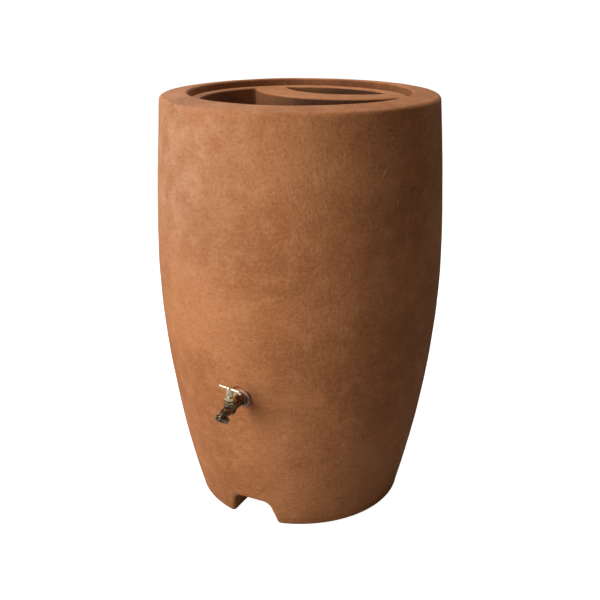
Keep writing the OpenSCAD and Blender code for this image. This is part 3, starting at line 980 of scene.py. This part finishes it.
# %% [markdown]
# ## Metal, plastic and rubber
# A tap that lives outdoors is never one colour. Its cast body goes brown, while the handle stays bright
# where hands polish it. Both are the same kind of finish with another share of stain. Plastic and rubber
# parts collect pale dust in soft patches, and have a very fine grain from the mould.

# %% Finishes for the fittings
def metal(name, clean, stained, share, rough):
    """Cast or turned metal: patches of stain over a share of it, duller where it is stained."""
    f = Finish(name)
    patches = f.cloud(130, detail=4, rough=0.62)
    fine = f.cloud(900, detail=3)
    stain = (patches * 0.75 + fine * 0.25).between(0.64 - share * 0.34, 0.76 - share * 0.30)
    f.shade(metallic=1.0)
    return f.shade(
        base_color=f.mix(stain, clean, stained),
        roughness=rough + stain * 0.14 + fine * 0.06,
        normal=f.bump(patches * 0.10 + fine * 0.04),
    )


def moulded(name, colour, dust, dusty, rough):
    """A moulded or cut soft part, with dust on a share of it."""
    f = Finish(name)
    patches = f.cloud(70, detail=4, rough=0.6)
    fine = f.cloud(1300, detail=2)
    return f.shade(
        base_color=f.mix(patches.between(0.42, 0.72) * dusty, colour, dust),
        roughness=rough + patches * 0.14,
        normal=f.bump(patches * 0.08 + fine * 0.03),
    )


cast_brass = metal("cast_brass", (0.33, 0.25, 0.17), (0.085, 0.062, 0.042), share=0.6, rough=0.22)
turned_brass = metal("turned_brass", (0.56, 0.41, 0.18), (0.22, 0.14, 0.07), share=0.35, rough=0.26)
bright_brass = metal("bright_brass", (0.90, 0.82, 0.58), (0.50, 0.38, 0.20), share=0.25, rough=0.25)
dark_steel = metal("dark_steel", (0.16, 0.16, 0.17), (0.10, 0.06, 0.04), share=0.3, rough=0.35)
mesh_steel = metal("mesh_steel", (0.55, 0.54, 0.52), (0.25, 0.18, 0.12), share=0.3, rough=0.32)
flange_paint = moulded("flange_paint", (0.40, 0.235, 0.165), (0.58, 0.41, 0.32), dusty=0.6, rough=0.34)
black_rubber = moulded("black_rubber", (0.014, 0.014, 0.014), (0.09, 0.075, 0.06), dusty=0.4, rough=0.66)
black_plastic = moulded("black_plastic", (0.017, 0.017, 0.018), (0.10, 0.085, 0.07), dusty=0.35, rough=0.38)
brown_fibre = moulded("brown_fibre", (0.075, 0.035, 0.02), (0.16, 0.09, 0.05), dusty=0.5, rough=0.72)
white_packing = moulded("white_packing", (0.62, 0.60, 0.55), (0.40, 0.36, 0.30), dusty=0.5, rough=0.6)
print("finishes:", [material.name for material in bpy.data.materials])

# %% [markdown]
# ## Pieces that keep their CAD shape
# Seals, nuts and the small parts inside the tap have the right shape already. Each keeps its CAD mesh and
# gets its real finish and a narrow Bevel, because no machined edge is perfectly sharp.

# %% Pieces that keep their CAD shape
def keep_node(name, finish, round_mm):
    """Gives a CAD node its finish and rounds its edges. The mesh under the modifiers isn't changed."""
    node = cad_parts[name]
    for place in node.material_slots:
        place.material = finish
    weld = node.modifiers.new("one skin", "WELD")
    weld.merge_threshold = 0.005 * MM
    bevel = node.modifiers.new("soft edges", "BEVEL")
    bevel.width = round_mm * MM
    bevel.segments = 2
    bevel.limit_method = "ANGLE"
    bevel.angle_limit = math.radians(40)
    return node


for name in ("tap_bonnet", "tap_lock_nut", "tap_jumper", "tap_jumper_nut", "tap_spindle", "drain_insert"):
    keep_node(name, turned_brass, 0.3)
for name in ("tap_gland_nut", "tap_handle_hub", "tap_handle_bar"):
    keep_node(name, bright_brass, 0.4)
for name in ("tap_outer_seal", "tap_inner_seal", "overflow_seal", "drain_plug_seal", "tap_jumper_washer"):
    keep_node(name, black_rubber, 0.3)
for name in ("overflow_lock_nut", "drain_plug", "screen_frame", "screen_snap_ring"):
    keep_node(name, black_plastic, 0.6)
keep_node("tap_bonnet_washer", brown_fibre, 0.15)
keep_node("tap_gland_packing", white_packing, 0.2)
keep_node("tap_handle_screw", dark_steel, 0.15)
print("kept CAD nodes:", sum(bool(node.modifiers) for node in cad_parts.values()))

# %% [markdown]
# ## Threads and nuts
# A thread is a rod whose ridge climbs one pitch for each turn, so rings will do: a point's radius depends on
# its height and on its angle. The ridge fades at both ends, as a cut thread's does. A nut is a six-sided
# bar with its corners turned off: the overlap of a hexagon and a turned shape.

# %% Threads and nuts
def threaded(name, radius, start, end, pitch, depth, sides=64):
    rings = []
    for z in spaced((start, end, pitch / 8)):
        fade = step(min(z - start, end - z), 0, pitch * 0.7)
        ring = []
        for a in even_turn(sides):
            climb = (z / pitch - a / (2 * math.pi)) % 1
            ridge = step(1 - abs(2 * climb - 1), 0.15, 0.85)
            r = radius - depth * (1 - fade * ridge)
            ring.append(at(r, a, z))
        rings.append(ring)
    return lofted(name, rings)


def six_sided(name, flats, start, end, chamfer=0.0012):
    corner = flats / math.sqrt(3)
    hexagon = [(corner * math.cos(a), corner * math.sin(a)) for a in even_turn(6)]
    nut = lofted(name, [[(x, y, z) for x, y in hexagon] for z in (start, end)])
    cut_back = corner - chamfer * math.sqrt(3)
    section = [(cut_back, start), (corner, start + chamfer), (corner, end - chamfer), (cut_back, end)]
    lathe = turned("lathe", section, even_turn(96))
    combine(nut, lathe, "INTERSECT")
    bpy.data.objects.remove(lathe)
    return nut


# %% [markdown]
# ## The tap's casting
# A bib tap's body is one casting: a pipe, a round chamber that holds the valve, and a spout that bends down
# to a threaded collar for a hose. Cast metal has no sharp inner corners. The three shapes are joined,
# turned into an even skin with a voxel Remesh, and smoothed until their meeting lines become fillets. What
# a lathe cuts later stays crisp, so the six-sided shoulder, the threads and the bores are added after the
# smoothing.

# %% The tap's casting
TAP_REACH = 0.051
SPOUT_BEND_X = 0.071
SPOUT_BEND_R = 0.0105
SPOUT_END = 0.011
WATERWAY_R = 0.0055
INLET_DROP = 0.0038
CASTING_VOXEL = 0.0008
tap_place = placed(0, TAP_FACE_Y, TAP_Z) @ spun("Z", -90)
outward = spun("Y", 90)
outlet_place = placed(SPOUT_BEND_X, 0, -SPOUT_BEND_R) @ spun("Y", 45) @ placed(z=SPOUT_BEND_R) @ outward


def spout(name, start_x, start_r, end_r, beyond):
    """A tube along the tap from start_x, round its bend and on by beyond. It narrows to end_r."""
    stops = [(x, 0, 0) for x in spaced((start_x, SPOUT_BEND_X, 0.0025))]
    for turn in np.radians(np.linspace(5, 45, 9)):
        fall = SPOUT_BEND_R * (1 - math.cos(turn))
        stops.append((SPOUT_BEND_X + SPOUT_BEND_R * math.sin(turn), -fall, turn))
    end_x, end_z, turn = stops[-1]
    stops.append((end_x + beyond * math.cos(turn), end_z - beyond * math.sin(turn), turn))
    rings = []
    for k, (x, z, turn) in enumerate(stops):
        r = start_r + (end_r - start_r) * step(k / (len(stops) - 1), 0, 1)
        circle = [(r * math.cos(a), r * math.sin(a)) for a in even_turn(48)]
        rings.append([(x + up * math.sin(turn), side, z + up * math.cos(turn)) for side, up in circle])
    return lofted(name, rings)


def tap_casting():
    """The casting before it is machined."""
    pipe = [(0.0118, 0.010), (0.0106, 0.014), (0.0097, 0.020), (0.0096, 0.032)]
    pipe += [(0.0104, 0.043), (0.0104, TAP_REACH)]
    chamber = [(0.003, -0.0112), (0.0070, -0.0104), (0.0103, -0.0078), (0.0121, -0.003), (0.0124, 0.003)]
    chamber += [(0.0121, 0.008), (0.0124, 0.0106), (0.0124, 0.0132)]
    casting = moved(turned("tap", pipe, even_turn(64)), outward)
    join(casting, moved(turned("chamber", chamber, even_turn(64)), placed(TAP_REACH)))
    join(casting, spout("spout", TAP_REACH, 0.0100, 0.0080, 0.003))
    remesh = casting.modifiers.new("even skin", "REMESH")
    remesh.mode = "VOXEL"
    remesh.voxel_size = CASTING_VOXEL
    smooth = casting.modifiers.new("fillets", "SMOOTH")
    smooth.factor = 0.5
    smooth.iterations = 10
    return keep_shape(casting)


collar = [(0.0136, 0.002), (0.0142, 0.0024), (0.0142, 0.0031), (0.0136, 0.0035)]
tap = join(
    tap_casting(),
    moved(six_sided("shoulder", flats=0.025, start=0.005, end=0.012), outward),
    moved(threaded("tail", 0.0104, -0.023, 0.0055, pitch=0.0018, depth=0.0009), outward),
    moved(turned("collar", collar), outlet_place),
    moved(threaded("hose_thread", 0.0132, 0.003, SPOUT_END, pitch=0.0022, depth=0.0011), outlet_place),
)
cut(
    tap,
    moved(rod("chamber_top", 0.03, 0.012, 0.03), placed(TAP_REACH)),
    moved(rod("tail_bore", 0.007, -0.03, 0.018), outward),
    moved(rod("inlet", 0.003, 0.017, TAP_REACH), placed(z=-INLET_DROP) @ outward),
    moved(rod("valve_seat", 0.005, -INLET_DROP, 0.001), placed(TAP_REACH)),
    moved(rod("chamber_bore", 0.009, 0, 0.02), placed(TAP_REACH)),
    spout("spout_bore", 0.058, WATERWAY_R, WATERWAY_R, SPOUT_END + 0.002),
)
moved(tap, tap_place)
dressed(tap, cast_brass, sharp_angle=38)
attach(tap, "barrel")
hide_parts("tap_body")
print("tap:", faces_of(tap), "triangles")

# %% [markdown]
# ## Wall flange
# Between the tap and the wall a pressed flange spreads the load over the rubber seal. It is a ring with a
# rolled outer edge, turned as a closed loop so that its hole is real.

# %% Wall flange
flange_section = [(0.0107, 0.002), (0.0107, 0.0050), (0.0150, 0.0050)]
flange_section += arc((0.0165, 0.0030), 0.0020, 90, 0, 7)
flange_section.append((0.0185, 0.002))
wall_flange = turned("wall_flange", flange_section, even_turn(120), closed_loop=True)
moved(wall_flange, tap_place @ outward)
dressed(wall_flange, flange_paint)
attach(wall_flange, "barrel")
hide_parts("tap_wall_flange")
print("wall flange:", faces_of(wall_flange), "triangles")

# %% [markdown]
# ## Debris screen
# The screen in the basin is woven from fine steel wire, one over and one under. Each wire is a thin tube
# along a cosine, and each set of wires is half a wave out of step with the other.

# %% Debris screen
def woven(name, centre, radius, pitch, wire_r):
    """Wires both ways across a round frame, over one and under one."""
    points, faces = [], []
    count = int(radius / pitch)
    sides = 5
    for crossways in (0, 1):
        for k in range(-count, count + 1):
            half = math.sqrt(radius**2 - (k * pitch) ** 2)
            stops = np.linspace(-half, half, max(4, round(6 * half / pitch)))
            first = len(points)
            for t in stops:
                lift = wire_r * math.cos(math.pi * (t / pitch + k + crossways))
                for a in even_turn(sides):
                    beside = k * pitch + wire_r * math.cos(a)
                    x, y = (beside, t) if crossways else (t, beside)
                    points.append((centre.x + x, centre.y + y, centre.z + lift + wire_r * math.sin(a)))
            for s in range(len(stops) - 1):
                for i in range(sides):
                    low, low_next = first + sides * s + i, first + sides * s + (i + 1) % sides
                    faces.append((low, low_next, low_next + sides, low + sides))
            faces += [range(first, first + sides), range(len(points) - sides, len(points))]
    return make_piece(name, points, faces)


mesh_low, mesh_high = (Vector(corner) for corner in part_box("screen_mesh"))
mesh_radius = (mesh_high.x - mesh_low.x) / 2
mesh_middle = (mesh_low + mesh_high) / 2
screen = woven("screen_wires", mesh_middle, mesh_radius - 0.1 * MM, pitch=0.0025, wire_r=0.00026)
dressed(screen, mesh_steel)
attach(screen, "screen")
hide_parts("screen_mesh")
print("screen:", faces_of(screen), "triangles")

# %% [markdown]
# ## Overflow
# At the back, near the top, a moulded tail carries surplus water away through a hose. Three barbs hold the
# hose: each rises steeply on the side of the wall and slopes down towards the open end, so that a hose
# slides on but not off. Its flange is rounded, and the thread behind it goes through the wall to a nut
# inside.

# %% Overflow
overflow_place = placed(0, OVERFLOW_FACE_Y, OVERFLOW_Z) @ spun("X", -90)
TAIL_R = 0.016
TAIL_END = 0.041
TAIL_BORE_R = 0.0125
BARB_DEPTH = 0.0011
BARB_FIRST = 0.0135
BARB_PITCH = 0.009
BARB_LENGTH = 0.0082
barbs = [(TAIL_R, 0.004), (TAIL_R, 0.0110)]
for k in range(3):
    foot = BARB_FIRST + k * BARB_PITCH
    barbs += [(TAIL_R - BARB_DEPTH, foot), (TAIL_R, foot + 0.0006), (TAIL_R, foot + 0.0012)]
    barbs += [(TAIL_R - BARB_DEPTH, foot + BARB_LENGTH)]
barbs += [(TAIL_R - BARB_DEPTH, TAIL_END - 0.0006), (TAIL_R - 0.0018, TAIL_END)]
rounded_flange = [(0.0254, 0.002), (0.0260, 0.0026)] + arc((0.0242, 0.0052), 0.0018, 0, 90, 6)
overflow = join(
    turned("overflow", barbs),
    turned("overflow_flange", rounded_flange, even_turn(120)),
    threaded("overflow_thread", 0.0164, -0.022, 0.003, pitch=0.003, depth=0.0014),
)
cut(overflow, rod("overflow_bore", TAIL_BORE_R, -0.03, 0.05, 96))
moved(overflow, overflow_place)
dressed(overflow, black_plastic)
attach(overflow, "barrel")
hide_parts("overflow_tail")
print("overflow:", faces_of(overflow), "triangles")
